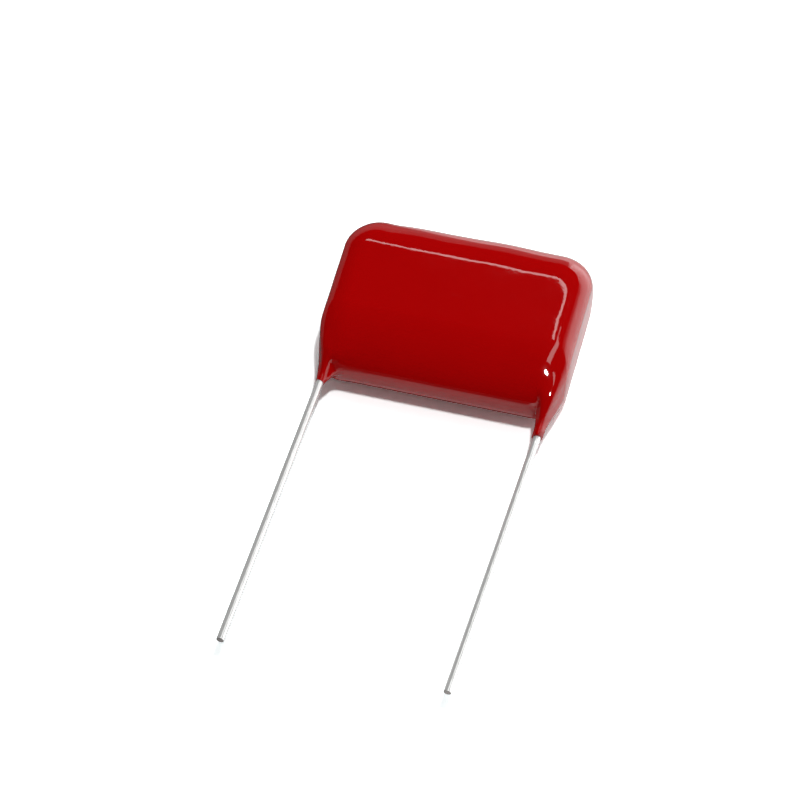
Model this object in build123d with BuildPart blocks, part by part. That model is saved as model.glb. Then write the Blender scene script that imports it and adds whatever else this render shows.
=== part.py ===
from build123d import *
import os
from math import cos, radians, sin, sqrt, tan

# Polyester film capacitor with a dipped epoxy coating and two wire leads, lying on its broad face.
# +Z is up and the leads run towards -Y. The origin lies on the surface that the part rests on,
# midway between the leads and level with the middle of the body.

# Wire leads
lead_pitch = 22.5
wire_diameter = 0.8
lead_lengths = {"left": 32.8, "right": 33.3}     # from the body's lower edge to the cut tip
lead_inner_reach = 5.0           # each wire runs this far up past the middle of the winding's end
lead_bend_depth = 0.95           # the wires bend inside the coating, this far from its lower edge

# Coated body
face_cover = 0.95                # coating over the broad faces of the roll
edge_cover = 1.45                # over its long edges
end_cover = 1.09                 # and over the wires at its ends
body_lean = 3.0                  # the body sits turned on its leads, in degrees
coating_shift = -0.11            # the coating is a little thicker at one end
end_rounding = 2.0               # radius between each upright end and the broad faces
edge_rounding = 4.8              # how far each long edge, where the film turns over, is rounded in
upper_corner_radius = 3.8        # on the outline seen from above
lower_corner_radius = 3.0
face_corner_radius = 1.8         # on the flat of each broad face
rounding_steps = 9               # sections between the widest outline and each flat

# Coating that ran down the wires
neck_lengths = {"left": 1.5, "right": 2.9}       # beyond the body's lower edge
neck_films = {"left": 0.03, "right": 0.15}       # coating on the wire where the neck ends
neck_root_radius = 1.3
neck_root_depth = 3.5

# Wound film and its sprayed metal ends
winding_height = 15.8
winding_thickness = 5.3
spray_thickness = 0.5
weld_depth = 0.15                # each wire is welded this deep into the sprayed metal

sides = {"left": -1, "right": 1}
wire_radius = wire_diameter / 2
lean_cos, lean_sin = cos(radians(body_lean)), sin(radians(body_lean))
wire_line = lead_pitch / 2 / lean_cos            # from the body's middle to each wire's centre line
spray_face = wire_line - wire_radius + weld_depth
winding_end = spray_face - spray_thickness
body_width = 2 * (wire_line + wire_radius + end_cover)
body_height = winding_height + 2 * edge_cover
body_thickness = winding_thickness + 2 * face_cover
lower_edge = -body_height / 2
bend_line = lower_edge + lead_bend_depth

# The body has its own plane at half its thickness, turned by the lean about the line where the
# wires bend, so that below the bend both wires run straight and at equal distances from the origin.
body_plane = Plane(
    origin=(bend_line * lean_sin, 0, body_thickness / 2), x_dir=(lean_cos, lean_sin, 0), z_dir=(0, 0, 1)
)
end_planes = {
    name: Plane(
        origin=body_plane.from_local_coords(Vector(side * winding_end, 0, 0)),
        x_dir=body_plane.y_dir * side,
        z_dir=body_plane.x_dir * side,
    )
    for name, side in sides.items()
}


def wire_point(side, y):
    """A point on one wire's centre line inside the body, at height y on the body's plane."""
    return body_plane.from_local_coords(Vector(side * wire_line, y, 0))


def neck_origin(side):
    """Where the wire, straight below its bend, passes the level of the body's lower edge."""
    return Vector(wire_point(side, bend_line).X, wire_point(side, lower_edge).Y, body_thickness / 2)


os.makedirs("parts", exist_ok=True)

# The roll of metallised polyester film, pressed flat: a racetrack along the body's width
with BuildPart() as film_winding:
    with BuildSketch(end_planes["left"]):
        SlotOverall(winding_height, winding_thickness)
    extrude(amount=-2 * winding_end)
film_winding.part.label = "film_winding"
export_step(film_winding.part, "parts/film_winding.step")

# Tinned wires: straight up the sprayed ends, then one gentle bend that ends where the coating does,
# and straight as far as they are bare
leads = {}
for name, side in sides.items():
    bend, root = wire_point(side, bend_line), neck_origin(side)
    covered = bend.Y - root.Y + neck_lengths[name]
    with BuildPart() as lead:
        with BuildLine():
            route = FilletPolyline(
                wire_point(side, lead_inner_reach), bend, root - Vector(0, lead_lengths[name], 0),
                radius=covered / tan(radians(body_lean / 2)),
            )
        with BuildSketch(Plane(origin=route @ 0, z_dir=route % 0)):
            Circle(wire_radius)
        sweep()
    leads[name] = lead
    lead.part.label = f"lead_{name}"
    export_step(lead.part, f"parts/lead_{name}.step")

# Metal sprayed on the ends of the roll, which joins every turn's edge to the wire welded into it
sprays = {}
for name in sides:
    with BuildPart() as end_spray:
        with BuildSketch(end_planes[name]):
            SlotOverall(winding_height, winding_thickness)
        extrude(amount=spray_thickness)
        add(leads[name].part, mode=Mode.SUBTRACT)
    sprays[name] = end_spray
    end_spray.part.label = f"end_spray_{name}"
    export_step(end_spray.part, f"parts/end_spray_{name}.step")

# Dipped coating: stacked outlines, rounded in along a quarter ellipse at the long edges and a
# quarter circle at the ends, with the necks that ran down the wires, moulded round all that is inside
with BuildPart() as epoxy_coating:
    for step in range(-rounding_steps, rounding_steps + 1):
        angle = radians(90 * step / rounding_steps)
        level = body_thickness / 2 * sin(angle)
        rise = max(0, abs(level) - body_thickness / 2 + end_rounding)
        end_inset = end_rounding - sqrt(end_rounding**2 - rise**2)
        edge_inset = edge_rounding * (1 - cos(angle))
        upper_radius = face_corner_radius + (upper_corner_radius - face_corner_radius) * cos(angle)
        lower_radius = face_corner_radius + (lower_corner_radius - face_corner_radius) * cos(angle)
        with BuildSketch(body_plane.offset(level)):
            with Locations((coating_shift, 0)):
                Rectangle(body_width - 2 * end_inset, body_height - 2 * edge_inset)
            fillet(vertices().group_by(Axis.Y)[-1], upper_radius)
            fillet(vertices().group_by(Axis.Y)[0], lower_radius)
    loft()
    for name, side in sides.items():
        tip_radius = wire_radius + neck_films[name]
        length = neck_lengths[name]
        middle = (neck_root_depth - length) / 2
        with BuildSketch(Plane(origin=neck_origin(side), x_dir=(1, 0, 0), z_dir=(0, 0, 1))):
            with BuildLine():
                curve = Bezier(
                    (neck_root_radius, neck_root_depth), (neck_root_radius, middle),
                    (tip_radius, middle), (tip_radius, -length),
                )
                Polyline(curve @ 1, (0, -length), (0, neck_root_depth), curve @ 0)
            make_face()
        revolve(axis=Axis(neck_origin(side), (0, 1, 0)))
    add([film_winding.part, *[lead.part for lead in leads.values()]], mode=Mode.SUBTRACT)
    add([spray.part for spray in sprays.values()], mode=Mode.SUBTRACT)
epoxy_coating.part.label = "epoxy_coating"
export_step(epoxy_coating.part, "parts/epoxy_coating.step")
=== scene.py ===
import math

import bpy
import numpy as np
from mathutils import Matrix, Vector


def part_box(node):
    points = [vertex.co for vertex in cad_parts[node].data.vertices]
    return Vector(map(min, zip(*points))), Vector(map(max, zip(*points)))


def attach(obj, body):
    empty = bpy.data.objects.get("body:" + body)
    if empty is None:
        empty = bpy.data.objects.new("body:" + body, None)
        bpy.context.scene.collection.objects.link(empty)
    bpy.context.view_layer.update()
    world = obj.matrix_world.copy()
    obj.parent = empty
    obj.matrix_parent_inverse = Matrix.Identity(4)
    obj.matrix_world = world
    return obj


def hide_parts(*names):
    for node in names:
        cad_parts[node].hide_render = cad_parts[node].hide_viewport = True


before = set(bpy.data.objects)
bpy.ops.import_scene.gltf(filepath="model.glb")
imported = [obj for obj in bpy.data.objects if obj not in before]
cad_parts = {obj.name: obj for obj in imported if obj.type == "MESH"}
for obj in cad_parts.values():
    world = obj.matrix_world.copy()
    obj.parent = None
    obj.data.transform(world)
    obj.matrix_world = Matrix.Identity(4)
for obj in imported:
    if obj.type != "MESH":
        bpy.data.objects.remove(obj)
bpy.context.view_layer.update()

mm = 0.001
tiny = 1e-6

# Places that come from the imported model, in millimetres
coatingLow, coatingHigh = (np.array(corner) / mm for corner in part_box("epoxy_coating"))
middleHeight = (coatingHigh[2] - coatingLow[2]) / 2
wireAxes, wireTips = {}, {}
for side in ("left", "right"):
    low, high = (np.array(corner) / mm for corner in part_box("lead_" + side))
    wireRadius = (high[2] - low[2]) / 2
    wireAxes[side] = high[0] - wireRadius  # above its bend each wire leans towards -X
    wireTips[side] = low[1]
print("frame read")


# Small helpers for meshes

# Closed skin over rows of rings: quad (i, j) joins rows i, i+1 and stations j, j+1, and a fan joins
# each pole to its nearest row. Faces run so that they point away from the rows' inside.
def gridMesh(name, points, poles):
    rows, stations, _ = points.shape
    vertices = np.concatenate([points.reshape(-1, 3), np.asarray(poles)]) * mm
    index = np.arange(rows * stations).reshape(rows, stations)
    following = np.roll(index, -1, axis=1)
    quads = np.stack([index[:-1], following[:-1], following[1:], index[1:]], -1).reshape(-1, 4)
    first, last = rows * stations, rows * stations + 1
    lower = np.stack([following[0], index[0], np.full(stations, first)], -1)
    upper = np.stack([index[-1], following[-1], np.full(stations, last)], -1)
    mesh = bpy.data.meshes.new(name)
    mesh.from_pydata(vertices.tolist(), [], quads.tolist() + lower.tolist() + upper.tolist())
    mesh.shade_smooth()
    mesh.validate()
    piece = bpy.data.objects.new(name, mesh)
    bpy.context.scene.collection.objects.link(piece)
    return piece


# 3t^2 - 2t^3 with t running from 0 at low to 1 at high
def smoothStep(low, high, value):
    t = np.clip((value - low) / (high - low), 0, 1)
    return t * t * (3 - 2 * t)


# Sum over waves of sin(2 pi (x/a + y/b + z/c) + phase), scaled to about -1..1
def unevenness(x, y, z, waves):
    total = sum(np.sin(2 * np.pi * (x / a + y / b + z / c) + phase) for a, b, c, phase in waves)
    return total / len(waves)


# The dipped coating

bodySet = {
    "width": 25.5,                         # across the leads
    "height": 18.7,
    "lean": 3.0,                           # degrees that the body sits turned on its leads
    "shift": -0.11,                        # the coating is thicker at the left end
    "bendDepth": 0.95,                     # the wires bend this far inside the lower edge
    "leanStart": 0.65,                     # and the necks lean from this far inside it
    "upperRounding": 4.8,                  # how far the long edges are rounded in
    "lowerRounding": 6.3,                  # on the upper half of the lower edge
    "lowerPower": 1.45,                    # under 2 gives a tighter edge with a longer slope above it
    "underRounding": 3.2,                  # on the lower half of the lower edge
    "endRounding": (2.4, 1.7),             # inwards and upwards
    "rightTaper": 0.2,                     # the right end leans in towards its lower corner
    "taperAlong": (6.0, -8.0),             # more and more from y to y
    "taperAcross": (4.0, 11.0),            # and from x to x
    "upperCorner": 3.8,
    "cornerShrink": (1.45, 1.0),           # how fast the left and right one narrow towards the broad faces
    "cornerAcross": 3.0,                   # the lower corners taper towards the wires
    "cornerAlong": 4.8,
    "topWaves": [(-8.4, 1.6, -0.16), (3.2, 2.6, 0.12)],   # a dip and a swell: x, reach, height
    "topFade": (2.0, 8.0),                 # both of the upper side, so they set in from y to y
    "faceCrown": 0.10,                     # how far the broad faces fall away from their middles
    "crownPower": 6,                       # higher keeps the fall to the broad faces
    "waveDepth": 0.02,                     # unevenness of the dipped skin
    "waveEnd": (1.2, 0.3),                 # which fades out between these depths inside the lower edge
}
# lengths of the skin's waves along x, y and z, and their phase
skinWaves = [
    (9.0, 21.0, 11.0, 0.4), (-6.3, 9.0, 8.0, 1.9), (4.7, -7.6, 6.0, 3.1),
    (13.0, 4.4, -9.0, 5.0), (-3.4, 5.1, 5.0, 2.2), (7.1, -3.2, 4.0, 0.9),
]
neckSet = {
    "tipRadius": {"left": 0.43, "right": 0.55},
    "length": {"left": 1.5, "right": 2.9},       # beyond the body's lower edge
    "taperStart": {"left": 1.5, "right": 1.59},  # above this depth the coating widens towards the body
    "taper": {"left": 0.2, "right": 0.215},
    "taperBlend": {"left": 0.15, "right": 0.25},
    "slant": {"left": 0.25, "right": -0.1},      # slope of the coating's end across the wire
    "fillet": {"left": 0.2, "right": 0.15},      # softness where a neck meets the body
    "highFillet": 2.5,                           # which grows by this share
    "filletHeights": (0.8, 2.0),                 # between these heights from the middle
    "oval": {"left": 0.40, "right": 0.40},       # a neck widens up and down faster than sideways by 1/oval
    "inner": {"left": 0.28, "right": 0.9},       # and towards the body's middle by 1/inner
    "ovalStart": 0.5,
    "ovalBlend": 0.08,
    "squareness": 2.8,                     # power of the outline of a neck's wide end; the tip's is 2
    "sink": 3.0,                           # a neck's ridge is lower by this at the broad face
    "sinkHeights": (1.8, 3.6),
    "effect": 6.0,                         # how far to each side a neck shapes the body
    "lip": 0.03,                           # softness of the coating's end
    "roundReach": 0.75,                    # grid rings are circles up to here
    "squareReach": 1.1,                    # and squares from here outwards
    "squareFull": 1.5,                     # where the neck's outline has its full squareness
    "steepest": 200.0,                     # keeps the exponential finite
}
gridSet = {
    "middleStep": 0.38,                    # spacing of the stations along the long edges
    "cornerSteps": 18,
    "wallSteps": 34,
    "leftCornerSteps": 10,                 # between each wire and the end beside it
    "rightCornerSteps": 3,
    "upperSteps": 26,                      # latitudes between the necks' reach and the flat
    "capRings": 24,
    "pullFade": 0.45,                      # share of the way out where the necks' pull has faded out
    "innerLines": (0.0, 0.2, 0.34),        # grid lines beside a wire's middle
    "tightLines": (0.40, 0.62, 0.0125),    # then from, to and spacing
    "wideLines": (0.65, 13),               # then from and count
}

bodyTurn = math.radians(bodySet["lean"])
bendLine = bodySet["bendDepth"] - bodySet["height"] / 2
bodyMiddle = np.array([bendLine * math.sin(bodyTurn), 0.0, middleHeight])


# The outline at height z above the middle: half width, reach of the lower and upper side from the middle,
# inset of the ends, and radii of the lower corners. The long sides come in along quarter ellipses, but the
# upper half of the lower one as a (1 - (1 - s^2)^(1/p)) with s the share of the half thickness, and the
# ends along a short ellipse.
def sectionAt(z):
    share = np.clip(np.abs(z) / middleHeight, 0, 1)
    upInset = bodySet["upperRounding"] * (1 - np.sqrt(1 - share ** 2))
    longSlope = bodySet["lowerRounding"] * (1 - (1 - share ** 2) ** (1 / bodySet["lowerPower"]))
    lowInset = np.where(z > 0, longSlope, bodySet["underRounding"] * (1 - np.sqrt(1 - share ** 2)))
    inwards, upwards = bodySet["endRounding"]
    endInset = inwards * (1 - np.sqrt(1 - np.clip((np.abs(z) - middleHeight) / upwards + 1, 0, 1) ** 2))
    across = bodySet["cornerAcross"] - endInset
    along = bodySet["cornerAlong"] - (bodySet["cornerAlong"] - across) * share ** 2
    halfWidth, halfHeight = bodySet["width"] / 2, bodySet["height"] / 2
    return halfWidth - endInset, halfHeight - lowInset, halfHeight - upInset, endInset, across, along


# y of the body's lower side: its straight edge, then b sqrt(1 - u^2/a^2) round each corner
def lowerEdgeAt(x, z):
    halfWidth, lowReach, _, _, across, along = sectionAt(z)
    beyond = np.clip(np.abs(x) - halfWidth + across, 0, across)
    return along - lowReach - along * np.sqrt(1 - (beyond / across) ** 2)


# How far below the body's lower edge a neck of coating reaches at a distance from the wire's middle:
# the inverse of radius = tip + taper * blend * log(1 + exp((start - depth) / blend)), cut off at its end
def neckDepth(radius, side):
    start, taper, blend = (neckSet[key][side] for key in ("taperStart", "taper", "taperBlend"))
    over = np.maximum(radius - neckSet["tipRadius"][side], tiny)
    depth = start - blend * np.log(np.expm1(np.minimum(over / (taper * blend), neckSet["steepest"])))
    lip = neckSet["lip"]
    return -np.logaddexp(-depth / lip, -neckSet["length"][side] / lip) * lip


# Past a start, a distance counts only by a share: d - (1 - share) b log(1 + exp((d - start) / b))
def squeeze(distance, share):
    blend = neckSet["ovalBlend"]
    lost = (1 - share) * blend * np.logaddexp(0, (distance - neckSet["ovalStart"]) / blend)
    return np.maximum(distance - lost, 0)


# Grid lines to both sides of a wire's middle: close together where the neck is steep
def neckLines():
    start, count = gridSet["wideLines"]
    tight = np.arange(*gridSet["tightLines"])
    wide = np.linspace(start, neckSet["squareReach"], count)
    offsets = np.concatenate([gridSet["innerLines"], tight, wide])
    return np.concatenate([-offsets[:0:-1], offsets])


# x of each wire where its neck starts to lean, from the body's own middle
def wirePlaces():
    leant = math.tan(bodyTurn) * (bodySet["bendDepth"] - bodySet["leanStart"])
    return {
        side: sign * wireAxes["right"] / math.cos(bodyTurn) - bodySet["shift"] - leant
        for side, sign in (("left", -1), ("right", 1))
    }


# Stations of the lower side: even steps between the wires, the grid lines beside them, and even turns of
# the corner x = core + radius sin a from there to the ends
def lowerStations(wireX, lines):
    corner, reach = bodySet["cornerAcross"], neckSet["squareReach"]
    core = bodySet["width"] / 2 - corner

    def towardsWall(start, count):
        turn = np.linspace(math.asin((abs(start) - core) / corner), math.pi / 2, count + 1)[1:]
        return core + corner * np.sin(turn)

    leftWall = -towardsWall(wireX["left"] - reach, gridSet["leftCornerSteps"])[::-1]
    rightWall = towardsWall(wireX["right"] + reach, gridSet["rightCornerSteps"])
    inner = np.arange(wireX["left"] + reach, wireX["right"] - reach, gridSet["middleStep"])[1:]
    return np.concatenate([leftWall, wireX["left"] + lines, inner, wireX["right"] + lines, rightWall])


# For every station round the outline: core x, share of the lower and of the upper core y, and angle of
# the corner radius, from the lower side over the right end and the upper side to the left end
def stationPlan(lowerX):
    corner = bodySet["cornerAcross"]
    core = bodySet["width"] / 2 - corner
    coreX = np.clip(lowerX / core, -1, 1)
    beyond = np.clip(np.abs(lowerX) - core, 0, corner) / corner
    angle = -math.pi / 2 + np.sign(lowerX) * np.arcsin(beyond)
    wall = np.linspace(0, 1, gridSet["wallSteps"])[1:]
    arc = np.linspace(0, math.pi / 2, gridSet["cornerSteps"])[1:]
    across = np.linspace(1, -1, int(bodySet["width"] / gridSet["middleStep"]))[1:]
    ones, zeros = np.ones_like, np.zeros_like
    parts = [
        (coreX, -ones(lowerX), zeros(lowerX), angle),
        (ones(wall), wall - 1, wall, zeros(wall)),
        (ones(arc), zeros(arc), ones(arc), arc),
        (across, zeros(across), ones(across), zeros(across) + math.pi / 2),
        (-ones(arc), zeros(arc), ones(arc), arc + math.pi / 2),
        (-ones(wall)[:-1], -wall[:-1], 1 - wall[:-1], zeros(wall)[:-1] + math.pi),
    ]
    return [np.concatenate(column) for column in zip(*parts)]


# Rows are latitudes and columns are stations round the outline. Each point is a core point plus a
# corner radius times (cos a, sin a), from the outline of its own height.
def coatingGrid():
    lines = neckLines()
    wireX = wirePlaces()
    lowerX = lowerStations(wireX, lines)
    coreX, lowShare, upShare, angle = stationPlan(lowerX)
    isLower = np.arange(len(coreX)) < len(lowerX)

    # latitudes: exact heights beside the wires, then even steps of the rounding's angle
    first = math.asin(neckSet["squareReach"] / middleHeight)
    steep = np.linspace(first, math.pi / 2, gridSet["upperSteps"])[1:]
    high = middleHeight * np.sin(steep)
    heights = np.concatenate([-high[::-1], lines, high])[:, None]
    width, lowReach, upReach, endInset, across, along = sectionAt(heights)
    leftShrink, rightShrink = bodySet["cornerShrink"]
    upper = bodySet["upperCorner"] - endInset * ((1 - coreX) * leftShrink + (1 + coreX) * rightShrink) / 2
    radiusX = upShare * upper + (1 - upShare) * across
    radiusY = upShare * upper + (1 - upShare) * along
    x = coreX * (width - radiusX) + radiusX * np.cos(angle)
    y = lowShare * (lowReach - along) + upShare * (upReach - upper) + radiusY * np.sin(angle)
    z = heights + 0 * x
    flatX, flatY = x, y
    for side in ("left", "right"):
        x, y, z = pullNeck(x, y, z, isLower, wireX[side], side)

    # broad faces: rings that shrink to the middle, where the necks' pull fades out first
    shrink = np.linspace(1, 0, gridSet["capRings"] + 1)[1:-1][:, None]
    fade = smoothStep(gridSet["pullFade"], 1, shrink)

    def cap(row):
        return flatX[row] * shrink + (x - flatX)[row] * fade, flatY[row] * shrink + (y - flatY)[row] * fade

    (lowX, lowY), (highX, highY) = cap(0), cap(-1)
    x = np.concatenate([lowX[::-1], x, highX])
    y = np.concatenate([lowY[::-1], y, highY])
    z = np.concatenate([-middleHeight + 0 * lowX, z, middleHeight + 0 * highX])
    return x, y, z, angle


# Pulls the lower side out along one wire. depth = log(exp(body/s) + exp(neck/s)) s joins the two,
# rings near the wire turn from squares into circles, and the neck follows the wire's lean.
def pullNeck(x, y, z, isLower, wireX, side):
    lowEdge = -bodySet["height"] / 2
    across = x - wireX
    reach = np.maximum(np.abs(across), np.abs(z))
    radius = np.maximum(np.hypot(across, z), tiny)
    ring = 1 - smoothStep(neckSet["roundReach"], neckSet["squareReach"], reach)
    factor = 1 + ring * (reach / radius - 1)
    near = isLower & (np.abs(across) < neckSet["effect"])
    newX, newZ = wireX + across * factor, z * factor
    body = lowEdge - lowerEdgeAt(newX, newZ)
    slant = neckSet["slant"][side] * across * factor * ring
    inward = across * factor * (1 if side == "left" else -1)
    beside = np.where(inward > 0, squeeze(np.abs(inward), neckSet["inner"][side]), np.abs(inward))
    above = squeeze(np.abs(newZ), neckSet["oval"][side])
    power = 2 + (neckSet["squareness"] - 2) * smoothStep(neckSet["roundReach"], neckSet["squareFull"], reach)
    neck = neckDepth((beside ** power + above ** power) ** (1 / power), side) + slant
    neck = neck - neckSet["sink"] * smoothStep(*neckSet["sinkHeights"], np.abs(newZ))
    widening = neckSet["highFillet"] * smoothStep(*neckSet["filletHeights"], np.abs(newZ))
    soft = neckSet["fillet"][side] * (1 + widening)
    newY = lowEdge - np.logaddexp(body / soft, neck / soft) * soft
    newX = newX - math.tan(bodyTurn) * np.maximum(0, lowEdge + bodySet["leanStart"] - newY)
    return np.where(near, newX, x), np.where(near, newY, y), np.where(near, newZ, z)


# The grid with its unevenness: waves push the skin in along (cos a cos t, sin a cos t, sin t), the broad
# faces fall by crown * outwards^2, the upper side moves by height * exp(-((x - centre) / reach)^2), and
# the right end comes in by taper * (z / half thickness)^2
def makeCoating():
    x, y, z, angle = coatingGrid()
    tilt = np.arcsin(np.clip(z / middleHeight, -1, 1))
    normal = np.stack([np.cos(angle) * np.cos(tilt), np.sin(angle) * np.cos(tilt), np.sin(tilt)], -1)
    begin, end = (bodySet["height"] / 2 - depth for depth in bodySet["waveEnd"])
    onNeck = smoothStep(begin, end, -y)
    waves = (1 - onNeck) * bodySet["waveDepth"] * (0.5 + 0.5 * unevenness(x, y, z, skinWaves))
    outwards = np.maximum(np.abs(x) * 2 / bodySet["width"], np.abs(y) * 2 / bodySet["height"])
    broad = np.abs(np.sin(tilt)) ** bodySet["crownPower"]
    crown = bodySet["faceCrown"] * np.clip(outwards, 0, 1) ** 2 * broad
    upperSide = smoothStep(*bodySet["topFade"], y)
    for centre, reach, height in bodySet["topWaves"]:
        y = y + upperSide * height * np.exp(-((x - centre) / reach) ** 2)
    taper = smoothStep(*bodySet["taperAlong"], y) * smoothStep(*bodySet["taperAcross"], x)
    x = x - bodySet["rightTaper"] * (z / middleHeight) ** 2 * taper
    points = np.stack([x, y, z - np.sign(z) * crown], -1) - normal * waves[..., None]
    poles = np.array([[0.0, 0.0, -middleHeight], [0.0, 0.0, middleHeight]])
    piece = gridMesh("dippedCoating", intoFrame(points), intoFrame(poles))
    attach(piece, "root")
    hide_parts("epoxy_coating")
    return piece


# Turns the body by its lean and puts it on its middle: p = M + R (p + shift)
def intoFrame(points):
    turned = points + np.array([bodySet["shift"], 0, 0])
    c, s = math.cos(bodyTurn), math.sin(bodyTurn)
    return turned @ np.array([[c, s, 0], [-s, c, 0], [0, 0, 1]]) + bodyMiddle


coating = makeCoating()
print("coating made:", len(coating.data.polygons), "faces")


# The tinned wires

wireSet = {
    "innerEnd": 4.6,                       # the hidden upper end, above the body's middle
    "bendSoftness": 0.35,
    "around": 40,
    "lengthSteps": 420,
    "tinDepth": 0.012,                     # unevenness of the plating
    "pinch": 0.06,                         # the cutter flattens the last stretch by this share
    "pinchLength": 0.5,
    "edge": 0.04,                          # rounding of the cut edge
    "edgeSteps": 6,
    "endRings": [0.6, 0.25],               # rings on the cut, as shares of the radius
}
# lengths of the plating's waves round the wire, along it and round it again, and their phase
tinWaves = {
    "left": [(0.9, 5.2, 1.1, 0.3), (-1.3, 3.3, 0.8, 2.0), (0.7, 1.7, -1.5, 4.4)],
    "right": [(1.1, 4.6, -0.9, 1.3), (0.8, 2.9, 1.4, 3.0), (-0.9, 1.5, 1.2, 0.2)],
}


# Circle of the wire's radius carried along x = axis - tan(lean) * softplus(y - bend), from the hidden
# upper end down to the cut tip, where the last rings round over by a quarter circle and close
def makeWire(side):
    tip = wireTips[side]
    edge, endRings, softness = wireSet["edge"], wireSet["endRings"], wireSet["bendSoftness"]
    turn = np.linspace(0, math.pi / 2, wireSet["edgeSteps"])[1:]
    straight = np.linspace(wireSet["innerEnd"], tip + edge, wireSet["lengthSteps"])
    along = np.concatenate([straight, tip + edge * (1 - np.sin(turn)), np.full(len(endRings), tip)])
    scale = np.concatenate([np.ones(len(straight)), 1 - edge / wireRadius * (1 - np.cos(turn)), endRings])
    around = np.linspace(0, 2 * math.pi, wireSet["around"], endpoint=False)
    middle = wireAxes[side] - math.tan(bodyTurn) * softness * np.logaddexp(0, (along - bendLine) / softness)
    pinch = wireSet["pinch"] * (1 - smoothStep(tip, tip + wireSet["pinchLength"], along))
    y = along[:, None] + 0 * around
    ringX, ringZ = np.cos(around), np.sin(around)
    dents = wireSet["tinDepth"] * (0.5 + 0.5 * unevenness(ringX, y, ringZ, tinWaves[side]))
    radius = wireRadius * scale[:, None] * (1 - dents)
    x = middle[:, None] + radius * ringX
    z = middleHeight + radius * ringZ * (1 - pinch[:, None])
    poles = [[middle[0], along[0], middleHeight], [middle[-1], tip, middleHeight]]
    piece = gridMesh("tinnedWire_" + side, np.stack([x, y, z], -1), poles)
    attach(piece, "root")
    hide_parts("lead_" + side)
    return piece


wires = {side: makeWire(side) for side in ("left", "right")}
print("wires made:", len(wires["left"].data.polygons), "faces each")


# Shader maths: a socket that can be added, multiplied and so on

class Value:
    def __init__(self, tree, socket):
        self.tree, self.socket = tree, socket

    def maths(self, operation, *others):
        return addNode(self.tree, "ShaderNodeMath", {"operation": operation}, self, *others)[0]

    def __add__(self, other):
        return self.maths("ADD", other)

    def __mul__(self, other):
        return self.maths("MULTIPLY", other)

    __radd__, __rmul__ = __add__, __mul__


# Any node: its settings first, then its sockets by order or by name. Gives its outputs.
def addNode(tree, kind, settings, *values, **named):
    node = tree.nodes.new(kind)
    for key, setting in settings.items():
        setattr(node, key, setting)
    byName = [(node.inputs[key.replace("_", " ")], value) for key, value in named.items()]
    for socket, value in list(zip(node.inputs, values)) + byName:
        if isinstance(value, Value):
            tree.links.new(value.socket, socket)
        elif value is not None:
            socket.default_value = value
    return [Value(tree, output) for output in node.outputs]


# An empty material and its node tree
def newMaterial(name):
    material = bpy.data.materials.new(name)
    material.use_nodes = True
    material.node_tree.nodes.clear()
    return material, material.node_tree


# Joins a surface to the material's output
def finishMaterial(tree, surface):
    addNode(tree, "ShaderNodeOutputMaterial", {}, surface)


# Object coordinates in millimetres, stretched by a scale for each axis
def place(tree, scale=(1, 1, 1)):
    coordinates = addNode(tree, "ShaderNodeTexCoord", {})[3]
    return addNode(tree, "ShaderNodeMapping", {}, coordinates, None, None, [s / mm for s in scale])[0]


# Noise with so many bumps per millimetre, after the stretch
def noise(tree, scale, detail, stretch=(1, 1, 1)):
    return addNode(tree, "ShaderNodeTexNoise", {}, place(tree, stretch), Scale=scale, Detail=detail)[0]


# Normal of a surface that a pattern raises by up to a height in millimetres
def bump(tree, pattern, height, strength=1.0):
    return addNode(tree, "ShaderNodeBump", {}, Strength=strength, Distance=height * mm, Height=pattern)[0]


# first + factor (second - first), where each colour is a socket or three numbers
def mixColour(tree, factor, first, second):
    mixed = addNode(tree, "ShaderNodeMix", {"data_type": "RGBA"}, Factor=factor)
    node = mixed[2].socket.node
    for socket, colour in ((node.inputs[6], first), (node.inputs[7], second)):
        if isinstance(colour, Value):
            tree.links.new(colour.socket, socket)
        else:
            socket.default_value = (*colour, 1)
    return mixed[2]


epoxySet = {
    "red": (0.33, 0.0006, 0.0009),
    "deepRed": (0.31, 0.0004, 0.0006),
    "patch": 0.25,                         # clouds of pigment, per millimetre
    "patchDetail": 4.0,
    "ripple": 0.8,                         # fine waves of the skin, per millimetre
    "rippleDetail": 2.0,
    "rippleHeight": 0.008,                 # in millimetres
    "roughness": 0.03,
    "haze": 0.02,
    "refraction": 1.5,
}


# Glossy red: colour and roughness follow clouds of pigment
def epoxyMaterial():
    material, tree = newMaterial("dippedRedEpoxy")
    clouds = noise(tree, epoxySet["patch"], epoxySet["patchDetail"])
    ripple = noise(tree, epoxySet["ripple"], epoxySet["rippleDetail"])
    surface = addNode(
        tree, "ShaderNodeBsdfPrincipled", {},
        Base_Color=mixColour(tree, clouds, epoxySet["red"], epoxySet["deepRed"]),
        Roughness=epoxySet["roughness"] + epoxySet["haze"] * clouds,
        IOR=epoxySet["refraction"], Normal=bump(tree, ripple, epoxySet["rippleHeight"]),
    )[0]
    finishMaterial(tree, surface)
    return material


tinSet = {
    "tin": (0.88, 0.88, 0.87),
    "dullTin": (0.78, 0.78, 0.77),
    "steel": (0.30, 0.28, 0.27),
    "roughness": 0.10,
    "dullRoughness": 0.08,
    "metal": 0.6,
    "drawLine": (6.0, 0.35, 6.0),          # drawn wire: marks run along it
    "markDetail": 5.0,
    "patch": 0.6,                          # duller clouds, per millimetre
    "patchDetail": 3.0,
    "scratchHeight": 0.002,
    "scratchStrength": 0.6,
    "cutShare": 0.6,                       # bare steel shows up to this share of the cut's rounding
}


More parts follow.
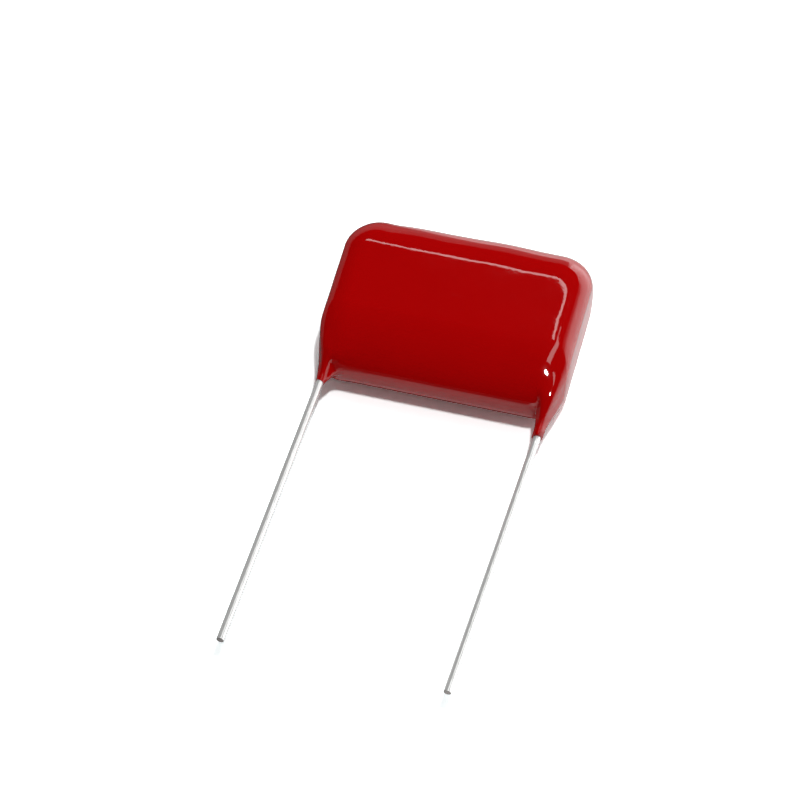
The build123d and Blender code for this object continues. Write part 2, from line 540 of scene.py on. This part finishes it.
# Drawn and tinned wire with marks along it, and bare steel on its cut
def tinMaterial(side):
    material, tree = newMaterial("tinPlate_" + side)
    marks = noise(tree, 1.0, tinSet["markDetail"], tinSet["drawLine"])
    clouds = noise(tree, tinSet["patch"], tinSet["patchDetail"])
    position = addNode(tree, "ShaderNodeSeparateXYZ", {}, place(tree))[1]
    cut = position.maths("LESS_THAN", wireTips[side] + wireSet["edge"] * tinSet["cutShare"])
    colour = mixColour(tree, clouds, tinSet["tin"], tinSet["dullTin"])
    surface = addNode(
        tree, "ShaderNodeBsdfPrincipled", {},
        Base_Color=mixColour(tree, cut, colour, tinSet["steel"]), Metallic=tinSet["metal"],
        Roughness=tinSet["roughness"] + tinSet["dullRoughness"] * marks,
        Normal=bump(tree, marks, tinSet["scratchHeight"], tinSet["scratchStrength"]),
    )[0]
    finishMaterial(tree, surface)
    return material


filmSet = {
    "film": (0.62, 0.62, 0.65),
    "margin": (0.80, 0.82, 0.84),
    "turns": 9.0,                          # bands per millimetre
    "detail": 2.0,
    "stretch": (0.02, 1, 1),
    "roughness": 0.35,
    "dullRoughness": 0.2,
    "metal": 0.7,
}


# Edges of the wound turns: bands across the roll's height
def filmMaterial():
    material, tree = newMaterial("metallisedFilm")
    bands = noise(tree, filmSet["turns"], filmSet["detail"], filmSet["stretch"])
    surface = addNode(
        tree, "ShaderNodeBsdfPrincipled", {},
        Base_Color=mixColour(tree, bands, filmSet["film"], filmSet["margin"]), Metallic=filmSet["metal"],
        Roughness=filmSet["roughness"] + filmSet["dullRoughness"] * bands,
    )[0]
    finishMaterial(tree, surface)
    return material


spraySet = {
    "zinc": (0.46, 0.46, 0.47),
    "darkZinc": (0.30, 0.30, 0.31),
    "grain": 6.0,                          # grains per millimetre
    "detail": 6.0,
    "grainHeight": 0.05,
    "grainStrength": 0.8,
    "roughness": 0.6,
    "dullRoughness": 0.2,
    "metal": 0.9,
}


# Sprayed zinc: a grainy matt metal
def sprayMaterial():
    material, tree = newMaterial("sprayedZinc")
    grain = noise(tree, spraySet["grain"], spraySet["detail"])
    surface = addNode(
        tree, "ShaderNodeBsdfPrincipled", {},
        Base_Color=mixColour(tree, grain, spraySet["darkZinc"], spraySet["zinc"]), Metallic=spraySet["metal"],
        Roughness=spraySet["roughness"] + spraySet["dullRoughness"] * grain,
        Normal=bump(tree, grain, spraySet["grainHeight"], spraySet["grainStrength"]),
    )[0]
    finishMaterial(tree, surface)
    return material


# Gives a piece one material in place of any it has
def dress(piece, material):
    piece.data.materials.clear()
    piece.data.materials.append(material)


dress(coating, epoxyMaterial())
for side, wire in wires.items():
    dress(wire, tinMaterial(side))
    dress(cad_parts["end_spray_" + side], sprayMaterial())
dress(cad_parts["film_winding"], filmMaterial())
print("materials made")


# Floor and backdrop: one shallow bowl, flat in the middle

stageSet = {
    "flat": 300.0,                         # millimetres
    "reach": 900.0,
    "rise": 225.0,
    "innerRing": 20.0,
    "flatRings": 12,
    "rimRings": 24,
    "around": 96,
    "white": 0.80,
    "shownWhite": 1.60,
    "coolness": 0.05,                      # against the red that the body throws on the table
    "leftPaintedShade": 0.18,                     # painted shade: the gloss sees a floor that is darker at the left
    "leftEdge": (-10.0, -14.0),            # from x to x
    "rightPaintedLight": 2.4,                     # painted light makes it brighter to the gloss, and the rim is taller, at the right, towards the window
    "rightEdge": (13.0, 22.0),
    "rightRise": 900.0,
    "window": 36.0,                        # degrees from +X towards +Y
    "windowPower": 4,                      # higher is narrower
    "topPaintedShade": 0.1,                       # painted shade: share that is left at its top
    "topEdge": (250.0, 800.0),             # from z to z
    "backPaintedGlow": 0.85,                      # painted glow: what the gloss sees behind is brighter by this
    "backEdge": (15.0, 60.0),              # from y to y
    "sideShare": 0.3,                      # share of that painted glow which is left at the right
    "sideEdge": (0.0, 300.0),
}


# Ring radius r(t) = flat + (reach - flat) sin a, height = rise (1 - cos a): a flat disc with a raised rim
def stageMesh():
    flat, count = stageSet["flat"], stageSet["around"]
    turn = np.linspace(0, math.pi / 2, stageSet["rimRings"])[1:]
    inside = np.linspace(stageSet["innerRing"], flat, stageSet["flatRings"])
    radius = np.concatenate([inside, flat + (stageSet["reach"] - flat) * np.sin(turn)])[:, None]
    share = np.concatenate([np.zeros(len(inside)), 1 - np.cos(turn)])[:, None]
    around = np.linspace(0, 2 * math.pi, count, endpoint=False)
    window = np.maximum(0, np.cos(around - math.radians(stageSet["window"]))) ** stageSet["windowPower"]
    rise = stageSet["rise"] + (stageSet["rightRise"] - stageSet["rise"]) * window
    rings = np.stack([radius * np.cos(around), radius * np.sin(around), share * rise], -1) * mm
    index = np.arange(len(radius) * count).reshape(-1, count)
    following = np.roll(index, -1, axis=1)
    quads = np.stack([index[:-1], index[1:], following[1:], following[:-1]], -1).reshape(-1, 4)
    mesh = bpy.data.meshes.new("tableAndBackdrop")
    mesh.from_pydata(rings.reshape(-1, 3).tolist(), [], quads.tolist() + [index[0].tolist()])
    mesh.shade_smooth()
    return mesh


# From one level to another between two places, eased at both ends
def ramp(tree, along, edge, start, end):
    ease = {"interpolation_type": "SMOOTHSTEP"}
    return addNode(tree, "ShaderNodeMapRange", ease, along, *edge, start, end)[0]


# White to light, whiter still to the camera, and to the gloss with painted shade at the left and at the rim's
# top, painted light towards the window and a painted glow behind
def stageMaterial():
    material, tree = newMaterial("whiteTable")
    path = addNode(tree, "ShaderNodeLightPath", {})
    seen = path[0].maths("MAXIMUM", path[6])
    x, y, z = addNode(tree, "ShaderNodeSeparateXYZ", {}, place(tree))
    # painted shade: the floor that the gloss sees darkens towards the left
    left = ramp(tree, x, stageSet["leftEdge"], 1.0, stageSet["leftPaintedShade"])
    # painted light: the floor that the gloss sees brightens towards the right
    right = ramp(tree, x, stageSet["rightEdge"], 1.0, stageSet["rightPaintedLight"])
    # painted shade: the rim that the gloss sees darkens towards its top
    high = ramp(tree, z, stageSet["topEdge"], 1.0, stageSet["topPaintedShade"])
    behind = ramp(tree, y, stageSet["backEdge"], 0.0, stageSet["backPaintedGlow"])
    beside = ramp(tree, x, stageSet["sideEdge"], 1.0, stageSet["sideShare"])
    # the floor's colour to the gloss, with its painted shade and painted light
    level = left * right * high * stageSet["white"]
    white = (stageSet["white"],) * 3
    shown = [stageSet["shownWhite"] * (1 + stageSet["coolness"] * share) for share in (0, 1, 1)]
    gloss = addNode(tree, "ShaderNodeCombineXYZ", {}, level, level, level)[0]
    colour = mixColour(tree, path[3], mixColour(tree, seen, white, shown), gloss)
    surface = addNode(tree, "ShaderNodeBsdfDiffuse", {}, colour)[0]
    # painted glow: to the gloss the table glows behind the body, less at the right and at the left
    glow = addNode(tree, "ShaderNodeEmission", {}, (1, 1, 1, 1), path[3] * behind * beside * left)[0]
    finishMaterial(tree, addNode(tree, "ShaderNodeAddShader", {}, surface, glow)[0])
    return material


table = bpy.data.objects.new("tableAndBackdrop", stageMesh())
bpy.context.scene.collection.objects.link(table)
dress(table, stageMaterial())


# The lamps: the way that each comes from, metres, metres and watts; seen says whether the gloss shows it

lightSet = {
    "key": {"from": (0.168, -0.100, 0.980), "distance": 0.8, "size": (0.04, 0.07), "watts": 3.0,
            "seen": True},
    "strip": {"from": (-0.141, 0.609, 0.778), "along": (0.894, -0.337, 0.295), "distance": 0.9,
              "size": (0.42, 0.040), "watts": 0.29, "seen": True},
    "sideLamp": {"from": (0.221, 0.318, 0.922), "along": (0.082, 0.934, -0.347), "distance": 0.9,
                 "size": (0.50, 0.12), "watts": 0.62, "seen": True},
    "fill": {"from": (0.25, 0.65, 0.75), "distance": 1.0, "size": (0.9, 0.9), "watts": 8.0, "seen": False},
}


# A rectangle of light at its distance from the body's middle, which it faces with its length set along
def addLamp(name, settings):
    lamp = bpy.data.lights.new(name, "AREA")
    lamp.shape = "RECTANGLE"
    lamp.size, lamp.size_y = settings["size"]
    lamp.energy = settings["watts"]
    holder = bpy.data.objects.new(name, lamp)
    bpy.context.scene.collection.objects.link(holder)
    direction = Vector(settings["from"]).normalized()
    cross = direction.cross(Vector(settings.get("along", (1, 0, 0)))).normalized()
    turn = Matrix((cross.cross(direction), cross, direction)).transposed().to_4x4()
    spot = direction * settings["distance"] + Vector((0, 0, middleHeight * mm))
    holder.matrix_world = Matrix.Translation(spot) @ turn
    holder.visible_glossy = settings["seen"]


for name, settings in lightSet.items():
    addLamp(name, settings)


# The room: dim to diffuse light, nearly dark to the gloss and white to the camera

roomSet = {"dim": 0.14, "gloss": 0.01, "white": 1.0}

world = bpy.data.worlds.new("paleRoom")
bpy.context.scene.world = world
world.use_nodes = True
world.node_tree.nodes.clear()
path = addNode(world.node_tree, "ShaderNodeLightPath", {})
shown = path[0].maths("MAXIMUM", path[6])
level = roomSet["dim"] * path[2] + roomSet["gloss"] * path[3] + roomSet["white"] * shown
background = addNode(world.node_tree, "ShaderNodeBackground", {}, (1, 1, 1, 1), level)[0]
addNode(world.node_tree, "ShaderNodeOutputWorld", {}, background)
print("stage and lamps made")


# Camera at the photograph's angle

cameraSet = {
    "picture": 800, "focal": 4500, "sensor": 36.0,        # pixels, pixels, millimetres
    "distance": 445.706, "elevation": 55.55, "azimuth": 18.419, "roll": -1.464,
    "aim": (-2.992, -11.193),
    "clip": (0.01, 10.0),                                 # metres
}


# back = (sin a cos e, -cos a cos e, sin e); right and up follow from it and turn by the roll
def addCamera():
    elevation, azimuth, roll = (math.radians(cameraSet[key]) for key in ("elevation", "azimuth", "roll"))
    back = Vector((math.sin(azimuth) * math.cos(elevation), -math.cos(azimuth) * math.cos(elevation),
                   math.sin(elevation)))
    level = Vector((math.cos(azimuth), math.sin(azimuth), 0))
    rise = back.cross(level)
    right = level * math.cos(roll) + rise * math.sin(roll)
    up = rise * math.cos(roll) - level * math.sin(roll)
    data = bpy.data.cameras.new("camera")
    data.sensor_width = cameraSet["sensor"]
    data.lens = cameraSet["focal"] * cameraSet["sensor"] / cameraSet["picture"]
    data.clip_start, data.clip_end = cameraSet["clip"]
    camera = bpy.data.objects.new("camera", data)
    bpy.context.scene.collection.objects.link(camera)
    aim = Vector((*cameraSet["aim"], middleHeight)) * mm
    turn = Matrix((right, up, back)).transposed().to_4x4()
    camera.matrix_world = Matrix.Translation(aim + back * cameraSet["distance"] * mm) @ turn
    bpy.context.scene.camera = camera


addCamera()
bpy.context.scene.view_settings.view_transform = "Standard"
